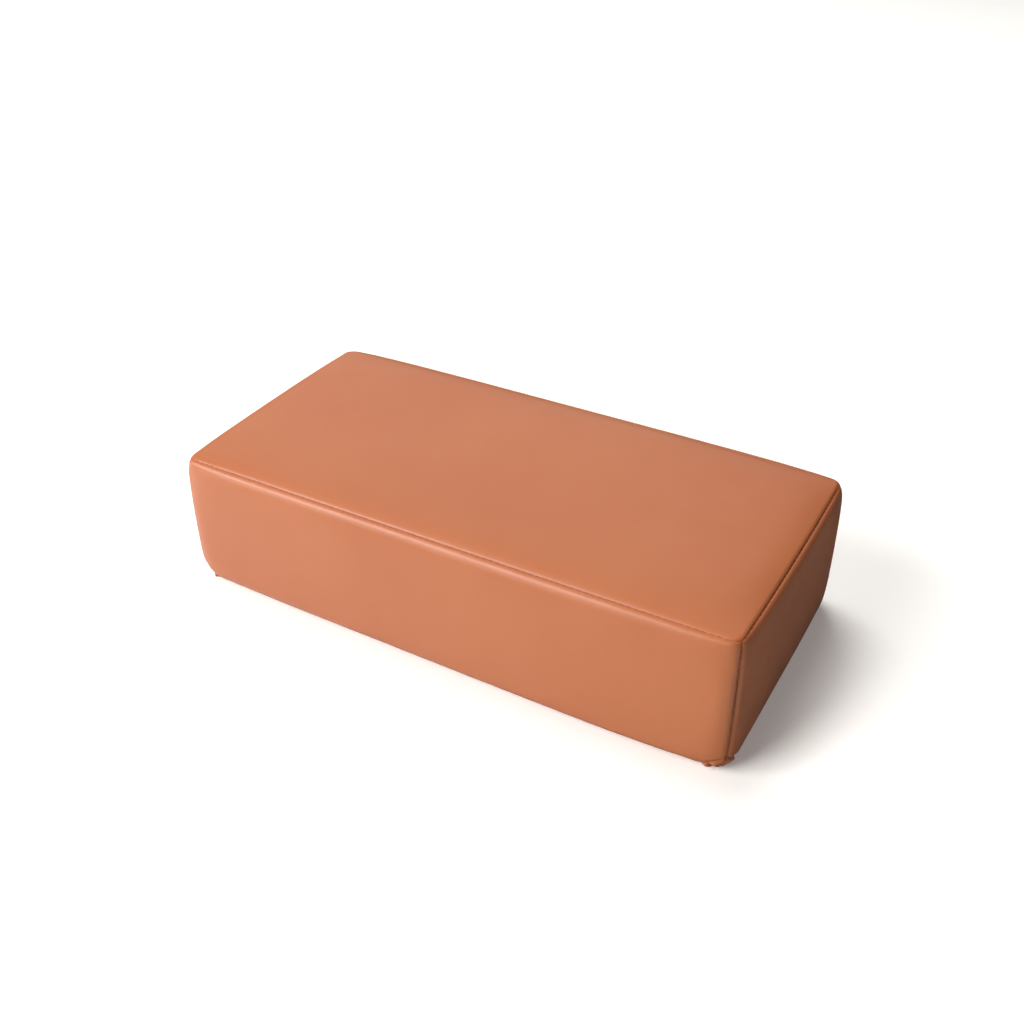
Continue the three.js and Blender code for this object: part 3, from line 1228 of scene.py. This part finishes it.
@dataclass
class Stitching:
    """The lock stitches that lie sunk in the top seam and in the upright seams."""

    cover: Cover
    material: Material
    radius: float = 0.40 * MM
    length: float = 3.0 * MM
    sunk: float = 0.16 * MM  # in the top seam
    sunk_upright: float = 0.34 * MM
    dip: float = 0.28 * MM  # how far a stitch's ends dive into the needle holes
    lean: float = math.radians(13)
    free_top: float = 6.0 * MM  # no stitches this near the top's corners
    free_base: float = 9.0 * MM  # nor this far up the upright seams

    def one(self) -> bpy.types.Mesh:
        """Build one stitch along X as a stretched and bent ball.

        Returns:
            The stitch's mesh.
        """
        bm = bmesh.new()
        bmesh.ops.create_uvsphere(bm, u_segments=6, v_segments=6, radius=self.radius,
                                  matrix=Matrix.Rotation(math.pi / 2, 4, "Y"))
        straight = self.length / 2 - self.radius
        for vertex in bm.verts:
            share = vertex.co.x / self.radius
            vertex.co.x += straight * share
            vertex.co.z -= self.dip * share ** 2
        mesh = bpy.data.meshes.new("stitch")
        bm.to_mesh(mesh)
        bm.free()
        return mesh

    def row(self, bm: Bmesh, stitch: bpy.types.Mesh, centres: Array, way: Array, sunk: float) -> None:
        """Add a row of stitches.

        Args:
            bm: The piece that gets the stitches.
            stitch: The mesh of one stitch.
            centres: Places of the stitches on the sharp box's edge.
            way: Direction of the seam there.
            sunk: Depth of their middle below the rounded cover.
        """
        place = self.cover.form.place
        middle, normal = place(centres)
        ahead, behind = (place(centres + way * step)[0] for step in (MM, -MM))
        for at, out, run in zip(middle, normal, ahead - behind):
            z_axis = Vector(out)
            along = Vector(run).normalized()
            across = z_axis.cross(along).normalized()
            x_axis = along * math.cos(self.lean) - across * math.sin(self.lean)
            y_axis = z_axis.cross(x_axis).normalized()
            turn = Matrix((x_axis, y_axis, x_axis.cross(y_axis))).transposed().to_4x4()
            start = len(bm.verts)
            bm.from_mesh(stitch)
            bm.verts.ensure_lookup_table()
            move = Matrix.Translation(Vector(at) - z_axis * sunk)
            bmesh.ops.transform(bm, matrix=move @ turn, verts=bm.verts[start:])

    def top_seam(self, stitch: bpy.types.Mesh) -> None:
        """Sew the seam round the top.

        Args:
            stitch: The mesh of one stitch.
        """
        form = self.cover.form
        pitch = self.cover.seam.stitch
        bm = bmesh.new()
        for face in SIDES:
            half, away = form.half if face.long else form.half[::-1]
            count = int((half - self.free_top) / pitch)
            along = np.arange(-count, count + 1) * pitch
            edge = np.column_stack([along, np.full_like(along, -away), np.full_like(along, form.top)])
            way = Cover.turn(np.array([[1.0, 0, 0]]), face)
            self.row(bm, stitch, Cover.turn(edge, face), way, self.sunk)
        add_piece("top_seam_stitches", bm, self.material, "top_seam_thread")

    def upright_seam(self, stitch: bpy.types.Mesh, node: str) -> None:
        """Sew one upright seam.

        Args:
            stitch: The mesh of one stitch.
            node: The CAD thread that it stands for.
        """
        form = self.cover.form
        half_x, half_y = form.half
        side_x, side_y = (math.copysign(1, centre_of(node)[axis]) for axis in (0, 1))
        drop = np.arange(1.5, (form.top - form.base - self.free_base) / self.cover.seam.stitch)
        level = form.top - drop * self.cover.seam.stitch
        edge = np.array([(side_x * half_x, side_y * half_y, z) for z in level])
        bm = bmesh.new()
        self.row(bm, stitch, edge, np.array([[0, 0, -1.0]]), self.sunk_upright)
        add_piece(node.replace("thread", "stitches"), bm, self.material, node)

    def build(self) -> None:
        """Sew every seam."""
        stitch = self.one()
        self.top_seam(stitch)
        for node in ("front_left", "front_right", "back_right", "back_left"):
            self.upright_seam(stitch, f"corner_thread_{node}")
        bpy.data.meshes.remove(stitch)


# ------------------------------------------------------------------ filling and base


@dataclass
class Filling:
    """The comfort foam and the firmer core, which fill the cover, and the board under them."""

    cover: Cover
    comfort: Material
    core: Material
    plywood: Material
    inset: float = 1.3 * MM
    edge_radius: float = 7.0 * MM
    pitch: float = 4.5 * MM
    top_gap: float = 3.0 * MM  # a block whose top is this near the cover fills it

    def block(self, node: str, name: str, material: Material) -> None:
        """Build one foam block.

        Args:
            node: The CAD node that it stands for.
            name: The piece's name.
            material: Its finish.
        """
        low, high = box_of(node)
        form = self.inner_form()
        top = form.top if high.z > form.top - self.top_gap else high.z
        size = Vector((2 * form.half[0], 2 * form.half[1], top - low.z))
        bm = cut_box(size, Vector((0, 0, (top + low.z) / 2)), self.pitch)
        sharp = np.array([v.co for v in bm.verts])
        placed = form.place(sharp)[0] + self.cover.press_out(sharp)
        for vertex, co in zip(bm.verts, placed):
            vertex.co = co
        add_piece(name, bm, material, node)

    def inner_form(self) -> BlockForm:
        """Give the cover's form, drawn in by the cover's thickness.

        Returns:
            The form of the filling.
        """
        form = self.cover.form
        return replace(
            form,
            thread_to_edge=form.thread_to_edge - self.inset,
            seam_below_top=form.seam_below_top - self.inset,
            top_radius=(self.edge_radius, self.edge_radius),
            top_ease=(self.edge_radius, self.edge_radius),
            upright_radius=self.edge_radius,
            upright_radius_top=self.edge_radius,
        )

    def build(self) -> None:
        """Build both blocks and finish the board."""
        self.block("comfort_foam", "comfort_layer", self.comfort)
        self.block("foam_core", "support_core", self.core)
        # the board is a carried-over solid, so it only gets its finish
        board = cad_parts["base_board"]
        board.data.materials.clear()
        board.data.materials.append(self.plywood)


@dataclass
class Underside:
    """The dust cover with its folded rim, and the staples."""

    cloth: Material
    wire: Material
    pitch: float = 2.5 * MM
    rim: float = 12.0 * MM
    rim_rise: float = 0.9 * MM  # how far the folded rim lies above the sheet
    thickness: float = 0.42 * MM
    floor_gap: float = 0.1 * MM
    dent: tuple[float, float] = (0.6 * MM, 0.3 * MM)  # under a staple: the sheet, its rim
    wire_size: float = 0.6 * MM
    bend: float = 0.55 * MM  # radius of a staple's shoulders
    chisel: float = 0.9 * MM  # length of a staple's points
    tip: float = 0.4  # thickness of a point's end, as a share of the wire's
    wire_bevel: float = 0.06 * MM

    def dust_cover(self) -> None:
        """Build the dust cover, pressed up under its staples and folded in at its rim."""
        low, high = box_of("dust_cover")
        bm = bmesh.new()
        half = (high - low) / 2
        counts = [round(2 * side / self.pitch) for side in half[:2]]
        bmesh.ops.create_grid(bm, x_segments=counts[0], y_segments=counts[1], size=1.0,
                              matrix=Matrix.Diagonal((half.x, half.y, 1, 1)))
        rim = bmesh.ops.extrude_edge_only(bm, edges=[e for e in bm.edges if e.is_boundary])
        turned = [g for g in rim["geom"] if isinstance(g, bmesh.types.BMVert)]
        bmesh.ops.translate(bm, verts=turned, vec=(0, 0, self.rim_rise))
        folded = [g for g in rim["geom"] if isinstance(g, bmesh.types.BMEdge)]
        fold = bmesh.ops.extrude_edge_only(bm, edges=folded)
        inner = [g for g in fold["geom"] if isinstance(g, bmesh.types.BMVert)]
        share = Vector((1 - self.rim / half.x, 1 - self.rim / half.y, 1))
        bmesh.ops.scale(bm, verts=inner, vec=share)
        flat = np.array([v.co for v in bm.verts])
        press = staple_press(flat, "dust_staple")
        for vertex, pressed in zip(bm.verts, press):
            on_rim = vertex.co.z > self.rim_rise / 2
            vertex.co.z += self.floor_gap + pressed * self.dent[on_rim]
        bmesh.ops.recalc_face_normals(bm, faces=bm.faces)
        bm.faces.ensure_lookup_table()
        if bm.faces[0].normal.z > 0:
            bmesh.ops.reverse_faces(bm, faces=bm.faces)
        sheet = add_piece("dust_sheet", bm, self.cloth, "dust_cover")
        thicken(sheet, self.thickness)

    def staple(self, node: str) -> None:
        """Build one staple: a flat wire that goes down one leg, along the crown and up the other leg.

        Args:
            node: The CAD staple that it stands for.
        """
        low, high = box_of(node)
        size = high - low
        along_x = size.x > size.y
        span, width = (size.x, size.y) if along_x else (size.y, size.x)
        leg = (span - self.wire_size) / 2
        crown = low.z + self.wire_size / 2
        shoulder = crown + self.bend
        bm = bmesh.new()
        tip = Matrix.Diagonal((self.wire_size * self.tip, width, 1, 1))
        bmesh.ops.create_grid(bm, x_segments=1, y_segments=1, size=0.5,
                              matrix=Matrix.Translation((-leg, 0, high.z)) @ tip)
        end = self.pull(bm, list(bm.faces), (0, 0, -self.chisel))
        bmesh.ops.scale(bm, verts=list(end[0].verts), vec=(1 / self.tip, 1, 1),
                        space=Matrix.Translation((leg, 0, 0)))
        end = self.pull(bm, end, (0, 0, shoulder + self.chisel - high.z))
        end = self.turn(bm, end, (self.bend - leg, 0, shoulder))
        end = self.pull(bm, end, (2 * (leg - self.bend), 0, 0))
        end = self.turn(bm, end, (leg - self.bend, 0, shoulder))
        end = self.pull(bm, end, (0, 0, high.z - self.chisel - shoulder))
        end = self.pull(bm, end, (0, 0, self.chisel))
        bmesh.ops.scale(bm, verts=list(end[0].verts), vec=(self.tip, 1, 1),
                        space=Matrix.Translation((-leg, 0, 0)))
        bmesh.ops.bevel(bm, geom=list(bm.edges), offset=self.wire_bevel, segments=2, profile=0.5,
                        affect="EDGES", material=-1)
        bmesh.ops.recalc_face_normals(bm, faces=bm.faces)
        turn = Matrix.Identity(4) if along_x else Matrix.Rotation(math.pi / 2, 4, "Z")
        middle = (low + high) / 2
        place = Matrix.Translation((middle.x, middle.y, 0)) @ turn
        bmesh.ops.transform(bm, matrix=place, verts=bm.verts)
        add_piece(node.replace("staple", "wire_staple"), bm, self.wire, node)

    @staticmethod
    def pull(bm: Bmesh, faces: Faces, vec: Sequence[float]) -> Faces:
        """Extrude the wire's end straight.

        Args:
            bm: The staple.
            faces: The wire's end.
            vec: How far the end moves.

        Returns:
            The new end.
        """
        made = bmesh.ops.extrude_discrete_faces(bm, faces=faces)["faces"]
        bmesh.ops.translate(bm, verts=list(made[0].verts), vec=vec)
        return made

    @staticmethod
    def turn(bm: Bmesh, faces: Faces, centre: Sequence[float]) -> Faces:
        """Bend the wire's end by a quarter turn round a shoulder.

        Args:
            bm: The staple.
            faces: The wire's end.
            centre: The shoulder's centre.

        Returns:
            The new end.
        """
        step = Matrix.Rotation(-math.pi / 6, 3, "Y")
        for _ in range(3):
            faces = bmesh.ops.extrude_discrete_faces(bm, faces=faces)["faces"]
            bmesh.ops.rotate(bm, verts=list(faces[0].verts), cent=centre, matrix=step)
        return faces

    def build(self) -> None:
        """Build the dust cover and every staple."""
        self.dust_cover()
        for node in staples("hem_staple") + staples("dust_staple"):
            self.staple(node)


# ------------------------------------------------------------------ studio


@dataclass(frozen=True)
class Lamp:
    """A rectangular soft light that faces the cushion."""

    name: str
    place: tuple[float, float, float]
    size: tuple[float, float]
    power: float  # in watts
    colour: tuple[float, float, float] = (1.0, 1.0, 1.0)
    lights: bool = True
    gleams: bool = True  # whether glossy surfaces reflect it
    aim: tuple[float, float, float] = (0.0, 0.0, 0.05)

    def build(self) -> None:
        """Add the light."""
        data = bpy.data.lights.new(self.name, "AREA")
        data.shape = "RECTANGLE"
        data.size, data.size_y = self.size
        data.energy = self.power
        data.color = self.colour
        lamp = bpy.data.objects.new(self.name, data)
        lamp.location = self.place
        way = Vector(self.aim) - Vector(self.place)
        lamp.rotation_euler = way.to_track_quat("-Z", "Y").to_euler()
        lamp.visible_diffuse = self.lights
        lamp.visible_glossy = self.gleams
        bpy.context.scene.collection.objects.link(lamp)


@dataclass(frozen=True)
class Studio:
    """Pale floor and backdrop, soft light from the front left, and the camera."""

    floor_size: float = 12.0
    floor_drop: float = 0.2 * MM
    wall_radius: float = 2.7
    pale: tuple[int, int, int] = (246, 245, 243)
    lens: float = 42.005
    sensor: float = 36.0
    azimuth: float = 29.574
    elevation: float = 34.243
    roll: float = -0.232
    distance: float = 0.82629
    target: tuple[float, float, float] = (-0.04079, 0.07507, 0.0)
    sky: float = 0.06
    glow: float = 1.9  # light from the low front left, which only reflections meet
    glow_way: tuple[float, float, float] = (-0.85, -0.38, -0.36)
    glow_edge: float = 0.55  # share of the way at which the glow starts
    lamps: tuple[Lamp, ...] = (
        Lamp("key", (-1.15, -1.6, 1.35), (1.6, 1.4), 80, (1.0, 0.98, 0.96)),
        Lamp("ceiling", (-0.9, 0.9, 3.0), (1.6, 1.6), 86, (1.0, 0.99, 0.96), gleams=False),
        Lamp("rear_card", (-1.1, 1.9, 1.5), (2.4, 2.0), 20, lights=False),
        Lamp("front_card", (-1.1, -2.0, 0.5), (2.2, 0.9), 9, lights=False),
        Lamp("high_card", (-0.9, -0.25, 1.9), (1.1, 1.1), 10, lights=False),
    )

    def stage(self, name: str, bm: Bmesh, fill: float) -> Object:
        """Add a pale piece of the studio.

        Args:
            name: The piece's name.
            bm: Its shape, which is freed.
            fill: Light from within it, which softens shadows.

        Returns:
            The piece.
        """
        nodes = Nodes(f"studio_{name}")
        nodes.fix(Base_Color=linear(self.pale), Roughness=0.9, Specular_IOR_Level=0.1,
                  Emission_Color=linear(self.pale), Emission_Strength=fill)
        piece = new_object(name, bm, nodes.material)
        piece.visible_glossy = False
        return piece

    def floor(self) -> None:
        """Lay the floor just under the cushion."""
        bm = bmesh.new()
        bmesh.ops.create_grid(bm, x_segments=1, y_segments=1, size=self.floor_size / 2,
                              matrix=Matrix.Translation((0, 0, -self.floor_drop)))
        self.stage("floor", bm, 0.2)

    def backdrop(self) -> None:
        """Stand a pale round wall behind everything, which only the camera sees."""
        bm = bmesh.new()
        bmesh.ops.create_cone(bm, cap_ends=False, segments=96, radius1=self.wall_radius,
                              radius2=self.wall_radius, depth=self.floor_size)
        bmesh.ops.reverse_faces(bm, faces=bm.faces)
        wall = self.stage("backdrop", bm, 0.8)
        wall.data.shade_smooth()
        wall.visible_diffuse = False
        wall.visible_shadow = False

    def camera(self) -> None:
        """Place the camera."""
        a, e, r = (math.radians(x) for x in (self.azimuth, self.elevation, self.roll))
        back = Vector((math.sin(a) * math.cos(e), -math.cos(a) * math.cos(e), math.sin(e)))
        right = (-back).cross(Vector((0, 0, 1))).normalized()
        up = right.cross(-back)
        across = right * math.cos(r) + up * math.sin(r)
        tall = up * math.cos(r) - right * math.sin(r)
        data = bpy.data.cameras.new("camera")
        data.lens = self.lens
        data.sensor_width = self.sensor
        data.clip_start = 0.01
        camera = bpy.data.objects.new("camera", data)
        turn = Matrix((across, tall, back)).transposed().to_4x4()
        camera.matrix_world = Matrix.Translation(Vector(self.target) + back * self.distance) @ turn
        bpy.context.scene.collection.objects.link(camera)
        bpy.context.scene.camera = camera

    def light(self) -> None:
        """Add the lights and the world."""
        for lamp in self.lamps:
            lamp.build()
        world = bpy.data.worlds.new("studio")
        world.use_nodes = True
        tree = world.node_tree
        sky = tree.nodes["Background"]
        sky.inputs["Color"].default_value = (1.0, 0.99, 0.98, 1.0)
        way = tree.nodes.new("ShaderNodeTexCoord")
        facing = tree.nodes.new("ShaderNodeVectorMath")
        facing.operation = "DOT_PRODUCT"
        facing.inputs[1].default_value = self.glow_way
        glow = tree.nodes.new("ShaderNodeMapRange")
        glow.inputs["From Min"].default_value = self.glow_edge
        glow.inputs["To Min"].default_value = self.sky
        glow.inputs["To Max"].default_value = self.glow
        tree.links.new(way.outputs["Generated"], facing.inputs[0])
        tree.links.new(facing.outputs["Value"], glow.inputs["Value"])
        tree.links.new(glow.outputs["Result"], sky.inputs["Strength"])
        bpy.context.scene.world = world
        bpy.context.scene.view_settings.view_transform = "Standard"

    def build(self) -> None:
        """Set up the studio."""
        self.floor()
        self.backdrop()
        self.camera()
        self.light()


# ------------------------------------------------------------------ build


def main() -> None:
    """Build the looks in order."""
    logging.basicConfig(level=logging.INFO, format="%(message)s")
    Studio().build()
    leatherette = Leatherette().build()
    form = BlockForm()
    pressure = CoverPressure(form)
    pressure.press()
    cover = Cover(form, pressure, leatherette)
    cover.build()
    Stitching(cover, SewingThread().build()).build()
    soft = CutFoam("soft_foam", (240, 236, 222), (214, 208, 190))
    firm = CutFoam("firm_foam", (186, 190, 196), (150, 155, 162), 700.0)
    Filling(cover, soft.build(), firm.build(), Plywood().build()).build()
    Underside(NonWoven().build(), StapleWire().build()).build()


if __name__ == "__main__":
    main()
